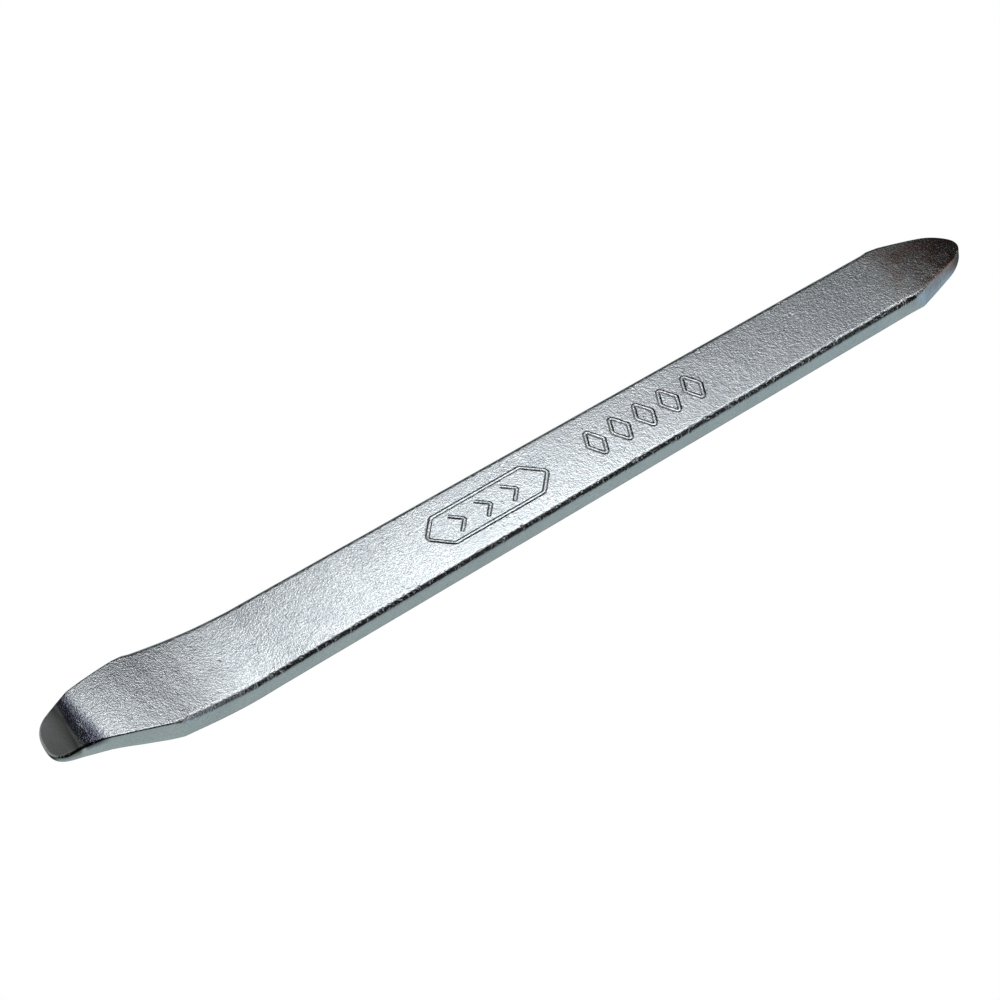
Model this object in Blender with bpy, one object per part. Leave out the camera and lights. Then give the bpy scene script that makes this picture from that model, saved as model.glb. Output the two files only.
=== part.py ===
"""One-piece drop-forged tyre lever: a flat steel bar, spoon lip at -X, straight rounded tip at +X."""

import bmesh
import bpy
import numpy as np

MM = 0.001

# Overall
LENGTH = 281.0  # 11 inch class lever, tip to tip
THICKNESS = 5.8
EDGE_RADIUS = 1.6  # upper long edges of the bar
UNDER_EDGE_RADIUS = 0.85
EDGE_SHARE = 0.17  # share of the half width given to each edge, just past its radius
UNDER_EDGE_SHARE = 0.09

# Plan outline: x along the bar and half the width there. The far taper is undercut outwards
# a little, so its lower edge starts further along than its upper edge.
NEAR_TAPER = ((-134.0, 7.45), (-130.4, 8.2), (-125.4, 9.5), (-117.4, 11.3), (-108.7, 13.1))
BAR = ((-108.7, 13.1), (-79.0, 12.05), (119.2, 10.1))
FAR_TAPER = ((119.2, 10.1), (132.6, 6.15))
FAR_TAPER_BELOW = ((121.9, 10.07), (133.0, 6.6))
NEAR_TIP_X = -140.1  # the lean of this tip adds the rest of the length
FAR_TIP_X = LENGTH / 2
NEAR_ROUNDNESS = 2.75  # exponent of the curve that closes each tip: 2 is an ellipse
FAR_ROUNDNESS = 2.2
TAPER_EDGE_RADIUS = 0.45  # the bent and cut ends have sharper edges than the rolled bar

# Side profile: heights of the top face and of the underside along the bar
TOP_PROFILE = (
    (-140.0, 11.9), (-134.2, 12.95), (-132.0, 13.22), (-130.2, 13.34), (-128.4, 13.31),
    (-125.4, 12.95), (-118.4, 11.75), (-110.4, 10.1), (-103.0, 8.5), (-95.0, 7.1), (-87.0, 6.15),
    (-79.0, THICKNESS), (112.0, THICKNESS), (119.2, 5.75), (126.0, 5.4), (132.6, 4.75), (140.6, 3.3),
)
UNDER_PROFILE = (
    (-140.0, 9.75), (-134.2, 9.55), (-130.4, 8.9), (-125.4, 8.05), (-118.4, 6.1),
    (-110.4, 3.9), (-103.0, 2.35), (-95.0, 1.0), (-87.0, 0.2), (-79.0, 0.0),
    (119.2, 0.0), (126.0, 0.05), (132.6, 0.3), (140.6, 0.6),
)

# Ground facet on the spoon tip, and how far that tip leans from square
FACET_X = -132.9
FACET_SLOPE = 0.3
TIP_LEAN = 0.23
LEAN_START_X = -127.0
LEAN_END_X = -134.0

# Raised decoration on the top face: a long panel with chevrons in it, then a row of diamonds
RELIEF_HEIGHT = 0.25
RELIEF_ROOT = 0.5
RELIEF_STROKE = 0.9
PANEL_CENTRE_X = -8.5
PANEL_LENGTH = 38.0
PANEL_WIDTH = 11.0
PANEL_POINT = 5.0
CHEVRON_COUNT = 3
CHEVRON_PITCH = 8.0
CHEVRON_REACH = 3.0
CHEVRON_WIDTH = 6.0
DIAMOND_COUNT = 5
DIAMOND_FIRST_X = 25.0
DIAMOND_PITCH = 7.6
DIAMOND_LENGTH = 5.8
DIAMOND_WIDTH = 10.4


def smooth(knots, x):
    """Cubic curve through the knots that never overshoots between two of them."""
    xs, ys = np.array(knots, float).T
    step = np.diff(xs)
    slope = np.diff(ys) / step
    tangent = np.zeros(len(xs))
    same_way = slope[:-1] * slope[1:] > 0
    before = np.where(same_way, slope[:-1], 1.0)
    after = np.where(same_way, slope[1:], 1.0)
    heavy, light = 2 * step[1:] + step[:-1], step[1:] + 2 * step[:-1]
    tangent[1:-1] = np.where(same_way, (heavy + light) / (heavy / before + light / after), 0)
    tangent[0], tangent[-1] = slope[0], slope[-1]
    i = np.clip(np.searchsorted(xs, x) - 1, 0, len(step) - 1)
    t = np.clip((x - xs[i]) / step[i], 0, 1)
    start = (1 + 2 * t) * (1 - t) ** 2 * ys[i] + t * (1 - t) ** 2 * step[i] * tangent[i]
    end = t**2 * (3 - 2 * t) * ys[i + 1] + t**2 * (t - 1) * step[i] * tangent[i + 1]
    return start + end


def half_width(x, below=False):
    """Half the width of the plan outline: a slowly narrowing bar, tapered and rounded at each end."""
    far_taper = FAR_TAPER_BELOW if below else FAR_TAPER
    near_x, near_shoulder = NEAR_TAPER[-1][0], NEAR_TAPER[0][0]
    (far_x, far_half), (far_shoulder, shoulder_half) = far_taper
    half = np.interp(x, *np.array(BAR).T)
    near_slope = (NEAR_TAPER[1][1] - NEAR_TAPER[0][1]) / (NEAR_TAPER[1][0] - NEAR_TAPER[0][0])
    near = smooth(NEAR_TAPER, x) + near_slope * np.minimum(x - near_shoulder, 0)
    far = far_half + (x - far_x) / (far_shoulder - far_x) * (shoulder_half - far_half)
    half = np.where(x < near_x, near, half)
    half = np.where(x > far_x, far, half)
    near_reach = np.clip((near_shoulder - x) / (near_shoulder - NEAR_TIP_X), 0, 1)
    far_reach = np.clip((x - far_shoulder) / (FAR_TIP_X - far_shoulder), 0, 1)
    half = half * (1 - near_reach**NEAR_ROUNDNESS) ** (1 / NEAR_ROUNDNESS)
    return half * (1 - far_reach**FAR_ROUNDNESS) ** (1 / FAR_ROUNDNESS)


def spaced(first, last, count, ease=False):
    """Stations from first to last. With ease they crowd towards the first."""
    t = np.linspace(0, 1, count)
    return first + (last - first) * (1 - np.cos(t * np.pi / 2) if ease else t)


def stations():
    return np.concatenate([
        spaced(NEAR_TIP_X, NEAR_TAPER[0][0], 14, ease=True)[:-1],
        spaced(NEAR_TAPER[0][0], FACET_X, 3)[:-1],
        spaced(FACET_X, NEAR_TAPER[-1][0], 17)[:-1],
        spaced(NEAR_TAPER[-1][0], -79.0, 17)[:-1],
        spaced(-79.0, 112.0, 9)[:-1],
        spaced(112.0, FAR_TAPER[0][0], 4)[:-1],
        spaced(FAR_TAPER[0][0], FAR_TAPER_BELOW[0][0], 3)[:-1],
        spaced(FAR_TAPER_BELOW[0][0], FAR_TAPER[-1][0], 9)[:-1],
        spaced(FAR_TIP_X, FAR_TAPER[-1][0], 14, ease=True)[::-1],
    ])


def outline_distance(plan, below):
    """Distance of each plan point from the outline, for the rounded edge."""
    x = np.interp(-np.cos(np.linspace(0, np.pi, 900)), [-1, 1], [NEAR_TIP_X, FAR_TIP_X])
    x = np.sort(np.concatenate([x, [NEAR_TAPER[-1][0], FAR_TAPER[0][0], FAR_TAPER_BELOW[0][0]]]))
    upper = np.stack([x, half_width(x, below)], axis=1)
    start, run = upper[:-1], np.diff(upper, axis=0)
    folded = np.stack([plan[..., 0], np.abs(plan[..., 1])], axis=-1)[..., None, :]
    t = np.clip(((folded - start) * run).sum(-1) / (run**2).sum(-1), 0, 1)
    return np.linalg.norm(folded - start - t[..., None] * run, axis=-1).min(-1)


def face_heights(plan, below):
    """Heights of the top face, or of the underside, with the rounded edge where it meets the side."""
    x = plan[..., 0]
    facet = smooth(TOP_PROFILE, FACET_X) - (FACET_X - x) * FACET_SLOPE
    top = np.where(x < FACET_X, np.minimum(smooth(TOP_PROFILE, x), facet), smooth(TOP_PROFILE, x))
    under = smooth(UNDER_PROFILE, x)
    ends = [NEAR_TAPER[-1][0] - 3, NEAR_TAPER[-1][0] + 2, FAR_TAPER[0][0] - 2, FAR_TAPER[0][0] + 3]
    long_edge = UNDER_EDGE_RADIUS if below else EDGE_RADIUS
    radius = np.interp(x, ends, [TAPER_EDGE_RADIUS, long_edge, long_edge, TAPER_EDGE_RADIUS])
    inside = np.clip(1 - outline_distance(plan, below) / radius, 0, 1)
    fall = radius * (1 - np.sqrt(1 - inside**2))
    return under + fall if below else top - fall


def across(edge_share):
    """Positions over the width from -1 to 1, crowded in the edge and flat between the edges."""
    arc = 1 - np.cos(np.linspace(0, np.pi / 2, 8))
    inner = np.linspace(1 - edge_share, 0, 4)[1:]
    side = np.concatenate([1 - edge_share * arc, inner])
    return np.concatenate([-side, side[::-1][1:]])


def leaned(points):
    """The spoon tip was ground out of square: its points slide along the bar in proportion to y."""
    points = points.copy()
    lean = TIP_LEAN * np.clip((LEAN_START_X - points[..., 0]) / (LEAN_START_X - LEAN_END_X), 0, 1)
    points[..., 0] += lean * points[..., 1]
    return points


def lever_mesh():
    """Vertices and faces of the bar: a top grid and an underside grid joined along the outline."""
    rows, grids = stations(), []
    for below, edge_share in ((False, EDGE_SHARE), (True, UNDER_EDGE_SHARE)):
        share = across(edge_share)
        plan = np.empty((len(rows), len(share), 2))
        plan[..., 0] = rows[:, None]
        plan[..., 1] = share * half_width(rows, below)[:, None]
        grids.append(np.dstack([plan, face_heights(plan, below)]))
    points = leaned(np.concatenate([grid.reshape(-1, 3) for grid in grids]))
    wide, beneath = len(share), len(rows) * len(share)
    faces = []
    for i in range(len(rows) - 1):
        for j in range(wide - 1):
            a = i * wide + j
            b = beneath + a
            faces.append((a, a + wide, a + wide + 1, a + 1))
            faces.append((b, b + 1, b + wide + 1, b + wide))
        for a, turn in ((i * wide, 1), (i * wide + wide - 1, -1)):
            wall = (a, beneath + a, beneath + a + wide, a + wide)
            faces.append(wall[::turn])
    return points, faces


def mesh_object(name, points, faces):
    mesh = bpy.data.meshes.new(name)
    mesh.from_pydata([tuple(p) for p in np.asarray(points) * MM], [], faces)
    work = bmesh.new()
    work.from_mesh(mesh)
    bmesh.ops.remove_doubles(work, verts=work.verts, dist=2e-6)
    bmesh.ops.dissolve_degenerate(work, edges=work.edges, dist=1e-7)
    bmesh.ops.recalc_face_normals(work, faces=work.faces)
    work.to_mesh(mesh)
    work.free()
    obj = bpy.data.objects.new(name, mesh)
    bpy.context.scene.collection.objects.link(obj)
    return obj


def prism(outer, inner=None):
    """A raised outline: a solid prism, or a ring where an inner outline is given."""
    low, high = THICKNESS - RELIEF_ROOT, THICKNESS + RELIEF_HEIGHT
    loops = [outer] if inner is None else [outer, inner]
    points = [(x, y, z) for loop in loops for z in (low, high) for x, y in loop]
    n = len(outer)
    faces = []
    for i in range(n):
        k = (i + 1) % n
        faces.append((i, k, n + k, n + i))
        if inner is not None:
            faces.append((2 * n + k, 2 * n + i, 3 * n + i, 3 * n + k))
            faces.append((n + i, n + k, 3 * n + k, 3 * n + i))
            faces.append((k, i, 2 * n + i, 2 * n + k))
    if inner is None:
        faces.append(tuple(range(n))[::-1])
        faces.append(tuple(range(n, 2 * n)))
    return points, faces


def diamond(centre, length, width):
    return [(centre + length / 2, 0), (centre, width / 2), (centre - length / 2, 0), (centre, -width / 2)]


def long_hexagon(centre, length, width, point):
    end, shoulder = length / 2, length / 2 - point
    return [
        (centre + end, 0), (centre + shoulder, width / 2), (centre - shoulder, width / 2),
        (centre - end, 0), (centre - shoulder, -width / 2), (centre + shoulder, -width / 2),
    ]


def chevron(centre):
    tip, stroke, half = CHEVRON_REACH / 2, RELIEF_STROKE * 1.25, CHEVRON_WIDTH / 2
    return [
        (centre + tip, 0), (centre - tip, half), (centre - tip - stroke, half),
        (centre + tip - stroke, 0), (centre - tip - stroke, -half), (centre - tip, -half),
    ]


def relief_object():
    """Every raised figure as one helper mesh of separate closed prisms."""
    inset = RELIEF_STROKE
    figures = [prism(
        long_hexagon(PANEL_CENTRE_X, PANEL_LENGTH, PANEL_WIDTH, PANEL_POINT),
        long_hexagon(PANEL_CENTRE_X, PANEL_LENGTH - 2.7 * inset, PANEL_WIDTH - 2 * inset, PANEL_POINT * 0.84),
    )]
    for i in range(CHEVRON_COUNT):
        figures.append(prism(chevron(PANEL_CENTRE_X + (i - (CHEVRON_COUNT - 1) / 2) * CHEVRON_PITCH)))
    for i in range(DIAMOND_COUNT):
        centre = DIAMOND_FIRST_X + i * DIAMOND_PITCH
        inner_length = DIAMOND_LENGTH - 2.3 * inset
        inner_width = DIAMOND_WIDTH * inner_length / DIAMOND_LENGTH
        figures.append(prism(
            diamond(centre, DIAMOND_LENGTH, DIAMOND_WIDTH),
            diamond(centre, inner_length, inner_width),
        ))
    points, faces = [], []
    for figure_points, figure_faces in figures:
        faces += [tuple(len(points) + i for i in face) for face in figure_faces]
        points += figure_points
    return mesh_object("relief_helper", points, faces)


def plated_steel():
    material = bpy.data.materials.new("zinc_plated_steel")
    material.use_nodes = True
    shader = material.node_tree.nodes["Principled BSDF"]
    shader.inputs["Base Color"].default_value = (0.66, 0.69, 0.7, 1)
    shader.inputs["Metallic"].default_value = 1.0
    shader.inputs["Roughness"].default_value = 0.34
    return material


for leftover in list(bpy.data.objects):
    bpy.data.objects.remove(leftover)

lever = mesh_object("lever_bar", *lever_mesh())
lever.data.materials.append(plated_steel())

relief = relief_object()
relief.hide_render = True
raise_relief = lever.modifiers.new("raised_relief", "BOOLEAN")
raise_relief.operation = "UNION"
raise_relief.solver = "EXACT"
raise_relief.object = relief
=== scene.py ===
# %% [markdown]
# # A drop-forged tyre lever
# This lesson builds one hand tool: a flat steel lever, spooned up at one end, straight and rounded
# at the other, with low raised figures forged into its face and a bright zinc plate over all of it.
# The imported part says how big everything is. It loads as a frame that never moves, and each new
# piece is made in the same metres and the same place as the solid that it stands for.

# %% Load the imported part
import math

import bpy
import numpy as np
from mathutils import Matrix, Vector


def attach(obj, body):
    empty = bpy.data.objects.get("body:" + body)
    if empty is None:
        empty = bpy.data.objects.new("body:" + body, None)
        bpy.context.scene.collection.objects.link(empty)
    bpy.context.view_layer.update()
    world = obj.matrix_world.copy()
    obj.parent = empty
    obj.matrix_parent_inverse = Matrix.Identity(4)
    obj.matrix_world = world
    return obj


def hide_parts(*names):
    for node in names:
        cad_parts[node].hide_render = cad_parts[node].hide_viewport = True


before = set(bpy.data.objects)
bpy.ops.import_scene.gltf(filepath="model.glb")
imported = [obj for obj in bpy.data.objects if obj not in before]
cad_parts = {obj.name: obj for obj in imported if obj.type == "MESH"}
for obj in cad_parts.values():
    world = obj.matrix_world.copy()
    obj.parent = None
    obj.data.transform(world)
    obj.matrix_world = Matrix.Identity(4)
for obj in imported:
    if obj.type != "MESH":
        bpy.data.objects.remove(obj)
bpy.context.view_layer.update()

# %% [markdown]
# ## One small class for every node tree
# Shape rules and finishes are both node trees, and most of their nodes only do sums. Wiring each
# sum by hand hides the idea, so a small class wraps a socket and lets ordinary arithmetic add the
# Math nodes. The reflected forms, such as `__rsub__`, make `1 - mask` work as well as `mask - 1`.
# Any other node comes from `node`, which sets the node's own settings before it fills its sockets.


# %% A socket that does arithmetic
class Wire:
    """One socket of a node tree. Arithmetic on it adds the Math nodes that do it."""

    def __init__(self, tree, socket=None):
        self.tree = tree
        self.socket = socket

    def node(self, kind, values=None, out=0, knots=None, **settings):
        made = self.tree.nodes.new(kind)
        for name, setting in settings.items():
            setattr(made, name, setting)
        if knots:
            line = made.mapping.curves[0]
            line.points[0].location, line.points[-1].location = knots[0], knots[-1]
            for place in knots[1:-1]:
                line.points.new(*place)
            for point in line.points:
                point.handle_type = "AUTO_CLAMPED"
            made.mapping.update()
        for key, value in (values or {}).items():
            if isinstance(value, Wire):
                self.tree.links.new(value.socket, made.inputs[key])
            else:
                made.inputs[key].default_value = value
        return Wire(self.tree, made.outputs[out])

    def maths(self, operation, *values):
        return self.node("ShaderNodeMath", dict(enumerate(values)), operation=operation)

    def __add__(self, other):
        return self.maths("ADD", self, other)

    def __sub__(self, other):
        return self.maths("SUBTRACT", self, other)

    def __rsub__(self, other):
        return self.maths("SUBTRACT", other, self)

    def __mul__(self, other):
        return self.maths("MULTIPLY", self, other)

    def __truediv__(self, other):
        return self.maths("DIVIDE", self, other)

    def __rtruediv__(self, other):
        return self.maths("DIVIDE", other, self)

    def __pow__(self, other):
        return self.maths("POWER", self, other)

    def __abs__(self):
        return self.maths("ABSOLUTE", self)

    __radd__ = __add__
    __rmul__ = __mul__

    def spread(self, low, high, to_low=0.0, to_high=1.0, kind="LINEAR"):
        """Its value carried from low..high to to_low..to_high, and held at the ends."""
        values = {0: self, 1: low, 2: high, 3: to_low, 4: to_high}
        return self.node("ShaderNodeMapRange", values, interpolation_type=kind)

    def clouds(self, scale, detail=2.0, roughness=0.5):
        """Soft noise read at this place."""
        values = {"Vector": self, "Scale": scale, "Detail": detail, "Roughness": roughness}
        return self.node("ShaderNodeTexNoise", values)

    def mix(self, under, over):
        """The colour over laid on the colour under, by this share."""
        values = {0: self, 6: under, 7: over}
        return self.node("ShaderNodeMix", values, out=2, data_type="RGBA")

    def part(self, axis):
        return self.node("ShaderNodeSeparateXYZ", {0: self}, out=axis)

    def joined(self, y, z):
        """A vector with this value as its x."""
        return self.node("ShaderNodeCombineXYZ", {0: self, 1: y, 2: z})


# %% [markdown]
# ## Trees with named inputs
# A Geometry Nodes tree is reusable when its sizes are inputs with names. A modifier finds an
# input by its identifier, which Blender makes up, so the helper below keeps a list of name to
# identifier and sets every input before the object is evaluated for the first time. The result
# is then copied out as a plain mesh and the modifier goes away, which leaves nothing live.


# %% Make a tree, run a tree
def new_tree(name, sizes):
    """An empty Geometry Nodes tree, its named inputs as wires, and each input's identifier."""
    tree = bpy.data.node_groups.new(name, "GeometryNodeTree")
    tree.interface.new_socket("Geometry", in_out="OUTPUT", socket_type="NodeSocketGeometry")
    found = {}
    for label, kind in {"Geometry": "Geometry", **sizes}.items():
        socket = tree.interface.new_socket(label, in_out="INPUT", socket_type=f"NodeSocket{kind}")
        found[label] = socket.identifier
    entry = tree.nodes.new("NodeGroupInput")
    wires = {label: Wire(tree, entry.outputs[label]) for label in found}
    return tree, wires, found


def close_tree(shape, finish):
    """Ends a tree: real geometry, smooth shading, its material, and the way out."""
    real = shape.node("GeometryNodeRealizeInstances", {0: shape})
    soft = real.node("GeometryNodeSetShadeSmooth", {0: real})
    painted = soft.node("GeometryNodeSetMaterial", {0: soft, 2: finish})
    shape.tree.links.new(painted.socket, shape.tree.nodes.new("NodeGroupOutput").inputs[0])


def grow(name, tree, identifiers, values, points=(), edges=()):
    """Runs a tree once on a little wire mesh and keeps the result as a plain object."""
    seed = bpy.data.meshes.new(name + "_seed")
    seed.from_pydata(points, edges, [])
    host = bpy.data.objects.new(name + "_seed", seed)
    bpy.context.scene.collection.objects.link(host)
    modifier = host.modifiers.new(name, "NODES")
    modifier.node_group = tree
    for label, value in values.items():
        modifier[identifiers[label]] = value
    graph = bpy.context.evaluated_depsgraph_get()
    mesh = bpy.data.meshes.new_from_object(host.evaluated_get(graph), depsgraph=graph)
    mesh.name = name
    host.modifiers.remove(modifier)
    bpy.data.objects.remove(host)
    piece = bpy.data.objects.new(name, mesh)
    bpy.context.scene.collection.objects.link(piece)
    mesh.calc_loop_triangles()
    print(name, "has", len(mesh.loop_triangles), "triangles")
    return piece


# %% [markdown]
# ## The zinc plate
# Bright zinc is a thin metal skin, so its look is nearly all reflection. What tells it from
# chrome is how uneven the skin is: a fine orange-peel grain left by the forging scale under it,
# cloudy patches where the plate took more or less shine, small pits, and hairline scratches from
# handling. Each of those is noise at its own scale, read at object coordinates in metres. The
# relief goes in the Bump height, in millimetres, because slopes are what make the metal sparkle
# where the light falls away. The clouds go in roughness and colour.
# The mesh carries two attributes. `ground` marks the facet ground on the spoon's lip, and turns
# the grain down there. `edge` rises from 0 on a face to 1 on the side wall, so that the rounded
# edges can be a little shinier, with small chips halfway round them.

# %% Sizes of the surface texture
GRAIN_PER_METRE, GRIT_PER_METRE, PEEL_PER_METRE = 2300.0, 1000.0, 240.0
GRAIN_MM, GRIT_MM, PEEL_MM = 0.08, 0.065, 0.02
CLOUD_PER_METRE = 75.0
HAIR_PER_METRE, HAIR_WIDTH, HAIR_MM = 150.0, 0.006, 0.03
HAIR_GROUP_PER_METRE, HAIR_GROUPS = 210.0, (0.60, 0.66)
PIT_PER_METRE, PIT_RIM, PIT_GROUPS, PIT_MM = 380.0, (0.04, 0.12), (0.56, 0.64), 0.03
CHIP_PER_METRE, CHIP_RIM, CHIP_MM = 800.0, (0.54, 0.68), 0.09
GROUND_SMOOTHING = 0.85


# %% Relief of the plate
def plate_relief(here, edge, ground):
    """The skin's height in millimetres, and the noises in it that the finish needs as well."""
    grain = here.clouds(GRAIN_PER_METRE, 3.0, 0.6)
    grit = here.clouds(GRIT_PER_METRE, 3.0, 0.6)
    peel = here.clouds(PEEL_PER_METRE, 2.0, 0.5)
    cloud = here.clouds(CLOUD_PER_METRE, 4.0, 0.6)

    contour = abs(here.clouds(HAIR_PER_METRE, 1.0, 0.4) - 0.5)
    sparse = here.clouds(HAIR_GROUP_PER_METRE, 1.0, 0.5).spread(*HAIR_GROUPS)
    hair = contour.spread(0.0, HAIR_WIDTH, 1.0, 0.0) * sparse
    cells = here.node("ShaderNodeTexVoronoi", {"Vector": here, "Scale": PIT_PER_METRE})
    pit = cells.spread(*PIT_RIM, 1.0, 0.0, "SMOOTHSTEP") * cloud.spread(*PIT_GROUPS)

    rough_skin = 1 - GROUND_SMOOTHING * ground
    height = (grain * GRAIN_MM + grit * GRIT_MM) * rough_skin + peel * PEEL_MM
    height = height - (hair * HAIR_MM + pit * PIT_MM) * rough_skin
    chips = here.clouds(CHIP_PER_METRE, 2.0, 0.6).spread(*CHIP_RIM, 0.0, 1.0, "SMOOTHSTEP")
    height = height - chips * edge * (1 - edge) * 4 * CHIP_MM
    return height, grain, grit, cloud, pit


# %% [markdown]
# ### A stain and two painted shades laid over it
# A brown stain darkens the straight tip. The other two marks are painted shade: a blue-black
# painted shade on the spoon's crest behind the ground facet, standing for the dark reflection
# there, and the facet itself painted darker towards the front and towards that crest. Each is a
# mask made from the place on the piece, in metres, and one noise breaks up the stain and the
# crest's painted shade. They could be painted on the mesh, but a mask keeps sizes that can be
# changed.


# %% Where the stain and the two painted shades lie
STAIN_PER_METRE = 170.0
STAIN_ALONG, STAIN_RISE, STAIN_PATCHES = (0.108, 0.132), (0.0008, 0.0025), (0.38, 0.62, 0.2, 1.0)
# The crest's painted shade: a blue-black colour standing for the dark reflection on the crest.
PAINTED_CREST_SHADE_START, PAINTED_CREST_SHADE_END = (-0.1336, -0.1328), (-0.1262, -0.1302)
PAINTED_CREST_SHADE_RISE, PAINTED_CREST_SHADE_PATCHES = (0.0112, 0.0125), (0.3, 0.6, 1.0, 0.7)
# The facet's painted shade: the ground facet drawn darker towards the front and towards the crest.
PAINTED_FACET_SHADE_ACROSS, PAINTED_FACET_SHADE_ALONG = (0.006, -0.006, 0.0, 0.55), (-0.1365, -0.1335, 0.0, 0.55)
PAINTED_FACET_SHADE_RISE = (0.0095, 0.0115)


def plate_shades(here, ground):
    """How far the stain and the two painted shades, on the crest and on the facet, cover a place.
    """
    along, height = here.part("X"), here.part("Z")
    patches = here.clouds(STAIN_PER_METRE, 3.0, 0.6)
    stain = along.spread(*STAIN_ALONG, 0.0, 1.0, "SMOOTHSTEP") * patches.spread(*STAIN_PATCHES)
    stain = stain * height.spread(*STAIN_RISE)
    painted_crest_shade = along.spread(*PAINTED_CREST_SHADE_START) * along.spread(*PAINTED_CREST_SHADE_END, 0.0, 1.0, "SMOOTHSTEP")
    painted_crest_shade = painted_crest_shade * height.spread(*PAINTED_CREST_SHADE_RISE) * patches.spread(*PAINTED_CREST_SHADE_PATCHES)
    # Painted shade on the facet, growing towards the front and towards the crest.
    painted_facet_shade = here.part("Y").spread(*PAINTED_FACET_SHADE_ACROSS) + along.spread(*PAINTED_FACET_SHADE_ALONG)
    return stain, painted_crest_shade, painted_facet_shade * ground * height.spread(*PAINTED_FACET_SHADE_RISE)


# %% Colours and shine of the plate
CLOUD_SPAN, CLOUD_DARK, CLOUD_LIGHT = (0.32, 0.68), (0.66, 0.69, 0.715, 1), (0.73, 0.755, 0.77, 1)
GRAIN_DIPS, GRAIN_COLOUR = (0.58, 0.34, 0.0, 0.30), (0.36, 0.37, 0.38, 1)
PIT_SHARE, PIT_COLOUR = 0.6, (0.20, 0.19, 0.18, 1)
# The brown is a real stain. The blue-black, and the dark olive below, are painted shade.
STAIN_COLOUR, PAINTED_CREST_SHADE_COLOUR = (0.42, 0.27, 0.22, 1), (0.10, 0.11, 0.17, 1)
# Dark olive painted shade for the ground facet.
PAINTED_FACET_SHADE_COLOUR = (0.17, 0.18, 0.15, 1)
CLOUD_ROUGHNESS = (0.3, 0.7, 0.24, 0.19)
GRIT_ROUGHNESS, GRIT_MIDDLE = 0.08, 0.04
EDGE_SHINE, FACET_ROUGHNESS = 0.06, 0.06
BUMP_METRES = 0.001


# %% Zinc plate material
def zinc_plate(name):
    material = bpy.data.materials.new(name)
    material.use_nodes = True
    tree = material.node_tree
    shader = tree.nodes["Principled BSDF"]
    here = Wire(tree).node("ShaderNodeTexCoord", out="Object")
    edge = here.node("ShaderNodeAttribute", out="Fac", attribute_name="edge")
    ground = here.node("ShaderNodeAttribute", out="Fac", attribute_name="ground")
    height, grain, grit, cloud, pit = plate_relief(here, edge, ground)
    values = {"Strength": 1.0, "Distance": BUMP_METRES, "Height": height}
    normal = here.node("ShaderNodeBump", values)

    stain, painted_crest_shade, painted_facet_shade = plate_shades(here, ground)
    colour = cloud.spread(*CLOUD_SPAN).mix(CLOUD_DARK, CLOUD_LIGHT)
    colour = grain.spread(*GRAIN_DIPS).mix(colour, GRAIN_COLOUR)
    colour = (pit * PIT_SHARE).mix(colour, PIT_COLOUR)
    colour = stain.mix(colour, STAIN_COLOUR)
    # The last two layers are painted shade in the colour, not the plate's own tint.
    colour = painted_crest_shade.mix(colour, PAINTED_CREST_SHADE_COLOUR)
    colour = painted_facet_shade.mix(colour, PAINTED_FACET_SHADE_COLOUR)

    rough = cloud.spread(*CLOUD_ROUGHNESS) + grit * GRIT_ROUGHNESS - GRIT_MIDDLE
    rough = rough - edge * EDGE_SHINE + ground * FACET_ROUGHNESS
    tree.links.new(colour.socket, shader.inputs["Base Color"])
    tree.links.new(rough.socket, shader.inputs["Roughness"])
    tree.links.new(normal.socket, shader.inputs["Normal"])
    shader.inputs["Metallic"].default_value = 1.0
    return material


zinc = zinc_plate("zinc_plate")
print("zinc plate uses", len(zinc.node_tree.nodes), "nodes")

# %% [markdown]
# ## The forged bar
# The real lever starts as a flat bar that is heated, pressed between dies and trimmed. Its shape
# follows a rule: at each place along it there is one half width, one height for the top face and
# one for the underside. That makes a good Geometry Nodes loft. A plain grid is laid out with one
# side along the bar and the other wrapped round its section, and each point works out its own
# place. The other way, pushing a subdivided cube about by hand, gives the same silhouette but no
# sizes to change later.
# Sizes are in millimetres, and x runs along the lever from its middle.

# %% Sizes of the bar
NEAR_TIP, FAR_TIP = -140.1, 140.5
THICKNESS = 5.8
NEAR_TAPER = (
    (-140.0, 6.2), (-134.0, 7.45), (-130.4, 8.2), (-125.4, 9.5), (-117.4, 11.3), (-108.7, 13.1),
)
BAR_WAIST_X, BAR_WAIST, BAR_END_X, BAR_END = -79.0, 12.05, 119.2, 10.1
FAR_SLOPE, FAR_BELOW_X, FAR_SLOPE_BELOW = 0.2948, 121.9, 0.3126
FAR_SHOULDER_X, FAR_SHOULDER_BELOW_X, NEAR_SHOULDER_X = 132.6, 133.0, -134.0
NEAR_ROUNDNESS, FAR_ROUNDNESS = 2.75, 2.2
SPOON_TOP = (
    (-140.0, 11.9), (-134.2, 12.95), (-132.0, 13.22), (-130.2, 13.34), (-128.4, 13.31),
    (-125.4, 12.95), (-118.4, 11.75), (-110.4, 10.1), (-103.0, 8.5), (-95.0, 7.1),
    (-87.0, 6.15), (-79.0, 5.8),
)
SPOON_UNDER = (
    (-140.0, 9.75), (-134.2, 9.55), (-130.4, 8.9), (-125.4, 8.05), (-118.4, 6.1),
    (-110.4, 3.9), (-103.0, 2.35), (-95.0, 1.0), (-87.0, 0.2), (-79.0, 0.0),
)
FAR_TOP = ((112.0, 5.8), (119.2, 5.75), (126.0, 5.4), (132.6, 4.75), (140.6, 3.3))
FAR_UNDER = ((119.2, 0.0), (126.0, 0.05), (132.6, 0.3), (140.6, 0.6))
FACET_X, FACET_HEIGHT, FACET_SLOPE, FACET_BLEND, FACET_FADE = -132.9, 13.12, 0.3, 0.12, 0.4
LEAN_START_X, LEAN_END_X = -127.0, -134.0
FULL_EDGE_START, FULL_EDGE_END = (-111.7, -106.7), (117.2, 122.2)
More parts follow.
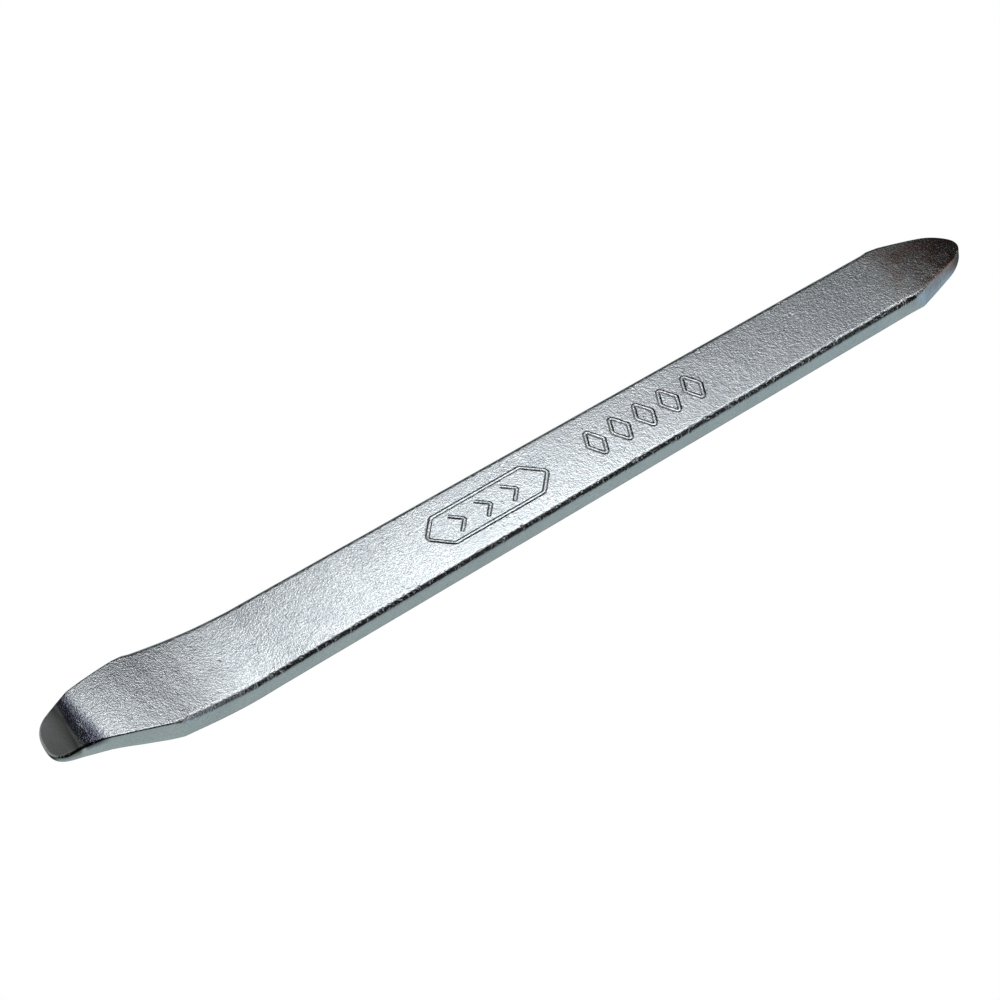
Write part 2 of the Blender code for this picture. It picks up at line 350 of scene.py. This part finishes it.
LIP_EDGE_START, LIP_EDGE_END, LIP_EDGE_SHARE = (-138.5, -136.0), (-133.0, -128.0), 0.5


# %% [markdown]
# ### Reading a line through knots
# A Float Curve node is a smooth line drawn through a few knots, the same tool that a colour
# artist uses for contrast. Here it draws the side profile. It works from 0 to 1 both ways, so
# the helper scales millimetres in and out.


# %% Heights and widths along the bar
def read_line(x, knots):
    """The height of a smooth line through the knots, at x."""
    (first, last), values = (knots[0][0], knots[-1][0]), [value for _, value in knots]
    low, span = min(values), max(values) - min(values)
    scaled = [((place - first) / (last - first), (value - low) / span) for place, value in knots]
    place = x.spread(first, last)
    return x.node("ShaderNodeFloatCurve", {1: place}, knots=scaled) * span + low


def half_width(x, below):
    """Half the plan width at x: slowly narrowing, then tapered and rounded off at each end."""
    near = read_line(x, NEAR_TAPER)
    narrowing = x.spread(NEAR_TAPER[-1][0], BAR_WAIST_X, 0.0, NEAR_TAPER[-1][1] - BAR_WAIST)
    narrowing = narrowing + x.spread(BAR_WAIST_X, BAR_END_X, 0.0, BAR_WAIST - BAR_END)
    start, slope = (FAR_BELOW_X, FAR_SLOPE_BELOW) if below else (BAR_END_X, FAR_SLOPE)
    far = x.maths("MAXIMUM", x - start, 0.0) * slope
    half = near - narrowing - far
    shoulder = FAR_SHOULDER_BELOW_X if below else FAR_SHOULDER_X
    for reach, power in (
        (x.spread(NEAR_SHOULDER_X, NEAR_TIP), NEAR_ROUNDNESS),
        (x.spread(shoulder, FAR_TIP), FAR_ROUNDNESS),
    ):
        half = half * (1 - reach**power) ** (1 / power)
    return half


# %% [markdown]
# ### Rounding the long edges
# A rolled bar has rounded edges. How far a point is from the outline says how far round the
# edge it is, and Geometry Proximity measures that distance to a fine line that follows the
# outline, tips and all. The drop from the flat face is then a quarter circle.


# %% Round one edge
OUTLINE_POINTS = 1500


def edge_drop(x, share, line, radius, below):
    """The half width at x, how far the edge has dropped there, and how far round it a point is."""
    half = half_width(x, below)
    outline = x.node("GeometryNodeSetPosition", {0: line, 2: x.joined(half, 0.0)})
    values = {0: outline, "Sample Position": x.joined(abs(half * share), 0.0)}
    gap = x.node("GeometryNodeProximity", values, out="Distance", target_element="EDGES")
    inside = x.maths("MAXIMUM", 1 - gap / radius, 0.0)
    return half, radius * (1 - x.maths("SQRT", 1 - inside * inside)), inside


# %% [markdown]
# ### Wrapping the grid round the bar
# The grid's second side goes round the section in two passes: the top face and one side wall,
# then the underside and the other wall. A few columns of each pass climb the wall. Columns crowd
# towards the edges of a face and stations crowd towards the tips, where the shape turns fastest.

# %% Place the grid's points
FACE_SHARE, SECOND_PASS = 15 / 16, 0.99999


def wrap(place, crowding):
    """A grid point's x, its share of the half width, and its level from 0 below to 1 on top."""
    t = place.part("X") + 0.5
    ripple = (t * math.tau).maths("SINE", t * math.tau) * crowding / math.tau
    x = (t - ripple) * (FAR_TIP - NEAR_TIP) + NEAR_TIP
    turn = (place.part("Y") + 0.5) * 2
    second = turn.maths("GREATER_THAN", turn, SECOND_PASS)
    local = turn - second
    run = local.spread(0.0, FACE_SHARE)
    wall = local.spread(FACE_SHARE, 1.0)
    share = -1 * run.maths("COSINE", run * math.pi) * (1 - 2 * second)
    level = second + (1 - 2 * second) * (1 - wall)
    return x, share, level


# %% The loft of the bar
MM, MM_PER_METRE, WELD_METRES = 0.001, 1000, 2e-6
MARK_PER_MM, MARK_DEPTH = 0.07, 40.0


def bar_tree():
    tree, size, found = new_tree("forged_bar_tree", {
        "Stations": "Int", "Columns": "Int", "Crowding": "Float", "Upper Edge Radius": "Float",
        "Lower Edge Radius": "Float", "Tip Edge Radius": "Float", "Tip Lean": "Float",
        "Crown": "Float", "Hammer Marks": "Float", "Finish": "Material",
    })
    grid = Wire(tree).node("GeometryNodeMeshGrid", {
        "Size X": 1.0, "Size Y": 1.0,
        "Vertices X": size["Stations"], "Vertices Y": size["Columns"],
    })
    x, share, level = wrap(grid.node("GeometryNodeInputPosition"), size["Crowding"])

    lip = x.spread(*LIP_EDGE_START) * x.spread(*LIP_EDGE_END, 1.0, 0.0) * LIP_EDGE_SHARE
    straight = x.spread(*FULL_EDGE_START) - x.spread(*FULL_EDGE_END)
    straight = straight.maths("MAXIMUM", straight, lip)
    line = x.node("GeometryNodeMeshLine", {
        "Count": OUTLINE_POINTS, "Start Location": (-0.5, 0, 0),
        "Offset": (1 / (OUTLINE_POINTS - 1), 0, 0),
    })
    thin, edges = size["Tip Edge Radius"], []
    for below, label in ((False, "Upper Edge Radius"), (True, "Lower Edge Radius")):
        radius = thin + (size[label] - thin) * straight
        edges.append(edge_drop(x, share, line, radius, below))
    (half_above, fall_above, round_above), (half_below, fall_below, round_below) = edges
    y = (half_below + (half_above - half_below) * level) * share

    top = read_line(x, SPOON_TOP) + read_line(x, FAR_TOP) - THICKNESS
    facet = (x - FACET_X) * FACET_SLOPE + FACET_HEIGHT
    top = x.maths("SMOOTH_MIN", top, facet, FACET_BLEND)
    under = read_line(x, SPOON_UNDER) + read_line(x, FAR_UNDER)
    marks = x.joined(y, level * MARK_DEPTH).clouds(MARK_PER_MM, 2.0, 0.55) - 0.5
    crown = half_above * share / NEAR_TAPER[-1][1]
    z_top = top - fall_above - crown * crown * size["Crown"] + marks * size["Hammer Marks"]
    z_under = under + fall_below + marks * size["Hammer Marks"]
    z = z_under + (z_top - z_under) * level
    leaned = x + x.spread(LEAN_START_X, LEAN_END_X) * size["Tip Lean"] * y

    edge = round_below + (round_above - round_below) * level
    ground = x.spread(FACET_X + FACET_FADE, FACET_X - FACET_FADE) * level
    shape = grid
    for label, value in (("edge", edge), ("ground", ground)):
        shape = shape.node("GeometryNodeStoreNamedAttribute", {0: shape, 2: label, 3: value})
    metres = (leaned * MM).joined(y * MM, z * MM)
    shape = shape.node("GeometryNodeSetPosition", {0: shape, 2: metres})
    shape = shape.node("GeometryNodeMergeByDistance", {0: shape, "Distance": WELD_METRES})
    close_tree(shape, size["Finish"])
    return tree, found


# %% Grow the bar
bar = grow("forged_bar", *bar_tree(), {
    "Stations": 481, "Columns": 129, "Crowding": 0.97, "Upper Edge Radius": 1.6,
    "Lower Edge Radius": 0.85, "Tip Edge Radius": 0.45, "Tip Lean": 0.23, "Crown": 0.24,
    "Hammer Marks": 0.12, "Finish": zinc,
})
corners = np.array([v.co for v in bar.data.vertices])
print("bar box in mm:", np.round(1000 * corners.min(0), 2), np.round(1000 * corners.max(0), 2))

# %% [markdown]
# ## The raised figures
# The forging die has grooves cut in it, and the hot steel fills them, which leaves low rounded
# ridges on the face: here a long panel with three chevrons in it, then a row of five diamonds.
# Every ridge is the same stroke drawn along a different line, so one tree draws them all. It
# copies a line along the bar, rounds its corners, runs a low ridge section along it and drops
# each point on to the bar with a ray, so the ridges follow the hammered face. A text object or a
# Boolean could make them too, but neither gives the soft foot that a die leaves.

# %% Sizes of the figures
RIDGE_HEIGHT, RIDGE_STROKE, RIDGE_FOOT, RIDGE_ROOT = 0.25, 0.9, 0.35, 0.35
RIDGE_CREST_SHARE, RIDGE_TOE = 0.15, 0.03
CORNER_POINTS, LINE_CUTS, RING_POINTS, RING_LEVEL = 7, 5, 24, -0.001
RAY_START, RAY_LENGTH = 0.05, 0.1
PANEL_X, PANEL_LENGTH, PANEL_WIDTH, PANEL_POINT = -8.5, 38.0, 11.0, 5.0
CHEVRON_PITCH, CHEVRON_REACH, CHEVRON_WIDTH = 8.0, 3.0, 6.0
DIAMOND_X, DIAMOND_PITCH, DIAMOND_LENGTH, DIAMOND_WIDTH = 25.0, 7.6, 5.8, 10.4


# %% The tree that draws a ridge
def ridge_tree():
    tree, size, found = new_tree("raised_ridge_tree", {
        "Count": "Int", "Pitch": "Float", "Stroke": "Float", "Height": "Float",
        "Corner Radius": "Float", "Bar": "Object", "Finish": "Material",
    })
    step = size["Pitch"].joined(0.0, 0.0)
    marks = step.node("GeometryNodeMeshLine", {"Count": size["Count"], "Offset": step})
    drawn = step.node("GeometryNodeMeshToCurve", {0: size["Geometry"]})
    copies = step.node("GeometryNodeInstanceOnPoints", {"Points": marks, "Instance": drawn})
    lines = step.node("GeometryNodeRealizeInstances", {0: copies})
    values = {"Curve": lines, "Count": CORNER_POINTS, "Radius": size["Corner Radius"]}
    values["Limit Radius"] = True
    lines = step.node("GeometryNodeFilletCurve", values, mode="POLY")
    lines = step.node("GeometryNodeSubdivideCurve", {"Curve": lines, "Cuts": LINE_CUTS})
    values = {"Resolution": RING_POINTS, "Radius": 1.0}
    ring = step.node("GeometryNodeCurvePrimitiveCircle", values)

    def keep(shape, field):
        made = tree.nodes.new("GeometryNodeCaptureAttribute")
        made.capture_items.new("VECTOR", "Kept")
        tree.links.new(shape.socket, made.inputs[0])
        tree.links.new(field.socket, made.inputs[1])
        return Wire(tree, made.outputs[0]), Wire(tree, made.outputs[1])

    ring, section = keep(ring, step.node("GeometryNodeInputPosition"))
    lines, centre = keep(lines, step.node("GeometryNodeInputPosition"))
    lines, tangent = keep(lines, step.node("GeometryNodeInputTangent"))
    values = {"Curve": lines, "Profile Curve": ring, "Fill Caps": True}
    ridge = step.node("GeometryNodeCurveToMesh", values)

    reach = size["Stroke"] / 2 + RIDGE_FOOT
    across = section.part("X") * reach
    x = centre.part("X") - tangent.part("Y") * across
    y = centre.part("Y") + tangent.part("X") * across
    ray = (x * MM).joined(y * MM, RAY_START)
    looked_up = step.node("GeometryNodeObjectInfo", {"Object": size["Bar"]}, out="Geometry")
    hit = step.node("GeometryNodeRaycast", {
        "Target Geometry": looked_up, "Source Position": ray, "Ray Direction": (0, 0, -1),
        "Ray Length": RAY_LENGTH,
    }, out="Hit Position")
    face = hit.part("Z") * MM_PER_METRE
    rise = abs(section.part("X")).spread(RIDGE_CREST_SHARE, 1.0, 1.0, 0.0, "SMOOTHSTEP")
    upper = section.part("Y").maths("GREATER_THAN", section.part("Y"), RING_LEVEL)
    crown = (size["Height"] + RIDGE_TOE) * rise - RIDGE_TOE
    z = face + crown * upper - RIDGE_ROOT * (1 - upper)
    metres = (x * MM).joined(y * MM, z * MM)
    ridge = ridge.node("GeometryNodeSetPosition", {0: ridge, 2: metres})
    close_tree(ridge, size["Finish"])
    return tree, found


ridge, ridge_inputs = ridge_tree()

# %% [markdown]
# ### Three lines for the one tree
# Each figure is only a few corners. The panel is a long hexagon, a chevron is an open V, and a
# diamond has four corners. The tree copies the last two along the bar by count and pitch.


# %% Draw the figures
def loop(points):
    """Corner points and the edges of the closed line through them."""
    return points, [(i, (i + 1) % len(points)) for i in range(len(points))]


def raised(name, drawn, count=1, pitch=0.0, stroke=RIDGE_STROKE, radius=0.6):
    points, edges = drawn
    return grow(name, ridge, ridge_inputs, {
        "Count": count, "Pitch": pitch, "Stroke": stroke, "Height": RIDGE_HEIGHT,
        "Corner Radius": radius, "Bar": bar, "Finish": zinc,
    }, points, edges)


half_stroke = RIDGE_STROKE / 2
end, side = PANEL_LENGTH / 2 - half_stroke, PANEL_WIDTH / 2 - half_stroke
hexagon = [(end, 0), (end - PANEL_POINT, side), (PANEL_POINT - end, side)]
hexagon += [(-a, -b) for a, b in hexagon]
panel = raised("raised_panel", loop([(PANEL_X + a, b, 0) for a, b in hexagon]), radius=1.2)

first = PANEL_X - CHEVRON_PITCH
arms = [(-CHEVRON_REACH / 2, CHEVRON_WIDTH / 2), (CHEVRON_REACH / 2, 0)]
arms.append((-CHEVRON_REACH / 2, -CHEVRON_WIDTH / 2))
arms = [(first + a - half_stroke, b, 0) for a, b in arms]
chevrons = raised("raised_chevrons", (arms, [(0, 1), (1, 2)]), 3, CHEVRON_PITCH)

long, wide = DIAMOND_LENGTH / 2 - half_stroke, DIAMOND_WIDTH / 2 - half_stroke
lozenge = [(long, 0), (0, wide), (-long, 0), (0, -wide)]
diamonds = raised(
    "raised_diamonds", loop([(DIAMOND_X + a, b, 0) for a, b in lozenge]), 5, DIAMOND_PITCH,
)

# %% [markdown]
# ## One solid, one body
# The lever is a single forging, so everything rides on one body, and the new bar stands for the
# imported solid.

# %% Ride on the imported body
for piece in (bar, panel, chevrons, diamonds):
    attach(piece, "root")
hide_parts("lever_bar")

# %% [markdown]
# ## Camera
# A long lens from a good way off keeps the sides of the bar nearly parallel, as in a catalogue
# picture. The camera is turned by giving its matrix three columns: right, up and backwards.

# %% Place the camera
CAMERA_PLACE = Vector((-0.7054, -0.9014, 1.2633))
AZIMUTH, ELEVATION = math.radians(-37.86), math.radians(47.78)
camera = bpy.data.objects.new("camera", bpy.data.cameras.new("camera"))
bpy.context.scene.collection.objects.link(camera)
camera.data.lens, camera.data.sensor_width = 252.0, 36.0
camera.data.clip_start, camera.data.clip_end = 0.05, 20.0
backwards = Vector((
    math.sin(AZIMUTH) * math.cos(ELEVATION),
    -math.cos(AZIMUTH) * math.cos(ELEVATION),
    math.sin(ELEVATION),
))
right = Vector((math.cos(AZIMUTH), math.sin(AZIMUTH), 0.0))
up = backwards.cross(right)
turned = Matrix((right, up, backwards)).transposed().to_4x4()
camera.matrix_world = Matrix.Translation(CAMERA_PLACE) @ turned
bpy.context.scene.camera = camera
print("camera looks along", [round(c, 3) for c in -backwards])

# %% [markdown]
# ## Floor and light
# Polished metal shows its surroundings, so lighting it means deciding what it sees. The floor is
# white paper that curves up into a backdrop. It shines by itself, which leaves it without a
# shadow, and it is hidden from reflections, so the metal sees only the card and the room.
# The flat face sees one soft card above and behind the lever, near enough that each place along
# the bar looks at another place on the card. A card that is bright at one end and fades to the
# other therefore shades the face along its length. A hot spot on the card lights the face by the
# spoon's bend, and a bright strip lights the face beside its front edge. The rounded edge itself
# looks past the card at the dark room, which draws the black line under the face.

# %% A surface that only shines
WHITE = (1, 1, 1, 1)


def light_up(thing, name, tint, power_at):
    """Gives a mesh a material that only shines, as strongly as power_at says at each place."""
    material = bpy.data.materials.new(name)
    material.use_nodes = True
    tree = material.node_tree
    tree.nodes.remove(tree.nodes["Principled BSDF"])
    place = Wire(tree).node("ShaderNodeTexCoord", out="Object")
    lit = place.node("ShaderNodeEmission", {"Color": tint, "Strength": power_at(place)})
    tree.links.new(lit.socket, tree.nodes["Material Output"].inputs["Surface"])
    thing.data.materials.append(material)


# %% Pale floor, curved up into a backdrop
RING = 72
FLOOR_PROFILE = ((4.0, 0.0), (5.2, 0.25), (6.0, 1.0), (6.3, 2.5), (6.3, 7.0))
rows = [(r * math.cos(a), r * math.sin(a), z)
        for r, z in FLOOR_PROFILE for a in (math.tau * k / RING for k in range(RING))]
faces = [(0, 1 + k, 1 + (k + 1) % RING) for k in range(RING)]
for level in range(len(FLOOR_PROFILE) - 1):
    for k in range(RING):
        a, b = 1 + level * RING + k, 1 + level * RING + (k + 1) % RING
        faces.append((a, a + RING, b + RING, b))
floor_mesh = bpy.data.meshes.new("floor")
floor_mesh.from_pydata([(0, 0, 0)] + rows, [], faces)
floor = bpy.data.objects.new("floor", floor_mesh)
bpy.context.scene.collection.objects.link(floor)
light_up(floor, "pale_paper", WHITE, lambda place: 1.0)
floor.visible_glossy = False
print("floor has", len(floor_mesh.polygons), "faces")

# %% The soft card, brightest at the spoon's end
CARD_HEIGHT, CARD_TINT = 0.36, (0.95, 0.98, 1.0, 1)
CARD_ALONG = (
    (72, 0.0), (96, 0.65), (116, 1.06), (150, 0.92), (170, 0.72), (205, 0.45), (259, 0.41),
    (287, 0.33), (307, 0.22), (340, 0.21), (440, 0.0),
)
CARD_ACROSS = ((-30, 0.0), (10, 1.5), (100, 1.25), (180, 1.0), (260, 1.0), (330, 1.2), (440, 0.6))
HOT_X, HOT_Y, HOT_REACH, HOT_POWER = 116.0, 172.0, 64.0, 4.2
STRIP_Y, STRIP_REACH, STRIP_POWER = 50.0, 30.0, 4.0


def card_power(spot):
    """How strongly the card shines at a place on it."""
    card_x, card_y = spot.part("X") * MM_PER_METRE, spot.part("Y") * MM_PER_METRE
    fade = read_line(card_x, CARD_ALONG)
    off_x, off_y = (card_x - HOT_X) / HOT_REACH, (card_y - HOT_Y) / HOT_REACH
    hot = 1 / (1 + (off_x * off_x + off_y * off_y) ** 2)
    strip = abs(card_y - STRIP_Y).spread(STRIP_REACH, 0.0)
    return fade * read_line(card_y, CARD_ACROSS) + hot * HOT_POWER * fade + strip * STRIP_POWER


# %% Hang the card
(left, right_side), (front, rear) = [
    (knots[0][0] / MM_PER_METRE, knots[-1][0] / MM_PER_METRE) for knots in (CARD_ALONG, CARD_ACROSS)
]
card_corners = [(left, front, CARD_HEIGHT), (left, rear, CARD_HEIGHT)]
card_corners += [(right_side, rear, CARD_HEIGHT), (right_side, front, CARD_HEIGHT)]
card_mesh = bpy.data.meshes.new("soft_card")
card_mesh.from_pydata(card_corners, [], [(0, 1, 2, 3)])
card = bpy.data.objects.new("soft_card", card_mesh)
bpy.context.scene.collection.objects.link(card)
light_up(card, "card_glow", CARD_TINT, card_power)
card.visible_camera = False
print("card reaches from", card_corners[0], "to", card_corners[2])

# %% [markdown]
# ### The room
# The sides of the bar look past the card, so the room has to be drawn too. It is nearly black
# above the lever and pale below it, paler in front. Four patches are added: a bluer one for the
# side of the straight end's taper, one up at the back for the ground facet, and one behind and
# one to the right for what shows when the lever is seen from behind. Each number is one part of
# a direction, from -1 to 1: to the right, to the back or up. Lamps could light the bar as well,
# but a lamp shows in metal as a hard spot.

# %% The room that the metal sees
ROOM_ABOVE, HORIZON = 0.008, (-0.08, 0.0)
BELOW_FRONT, BELOW_FLOOR = (-0.42, 0.1, 0.47, 0.10), (-0.9, -0.58, 0.06, -0.06)
BELOW_BACK, BELOW_BACK_POWER = (0.45, 0.65), 0.35
TAPER_RIGHT, TAPER_FRONT, TAPER_POWER = (0.48, 0.62), (0.0, -0.2), 0.16
FACET_LEFT, FACET_BACK = (0.12, -0.5, 0.0, 0.45), (-0.1, 0.3)
ABOVE_RIGHT, ABOVE_FRONT, ABOVE_POWER = (0.64, 0.7), (0.1, -0.3), 0.45
BELOW_TINT, TAPER_TINT = (0.86, 1.0, 0.98, 1), (0.72, 0.98, 1.16, 1)
world = bpy.data.worlds.new("studio")
world.use_nodes = True
bpy.context.scene.world = world
room = world.node_tree
toward = Wire(room).node("ShaderNodeTexCoord", out="Generated")
side_way, depth_way, height_way = (toward.part(axis) for axis in "XYZ")
taper_side = side_way.spread(*TAPER_RIGHT) * depth_way.spread(*TAPER_FRONT)
below = depth_way.spread(*BELOW_FRONT) + height_way.spread(*BELOW_FLOOR)
below = below + taper_side * TAPER_POWER + depth_way.spread(*BELOW_BACK) * BELOW_BACK_POWER
above = ROOM_ABOVE + side_way.spread(*FACET_LEFT) * depth_way.spread(*FACET_BACK)
above = above + side_way.spread(*ABOVE_RIGHT) * depth_way.spread(*ABOVE_FRONT) * ABOVE_POWER
share = height_way.spread(*HORIZON)
strength = below + (above - below) * share
colour = share.mix(taper_side.mix(BELOW_TINT, TAPER_TINT), WHITE)
room.links.new(colour.socket, room.nodes["Background"].inputs["Color"])
room.links.new(strength.socket, room.nodes["Background"].inputs["Strength"])
bpy.context.scene.view_settings.view_transform = "Standard"
print("room uses", len(room.nodes), "nodes")
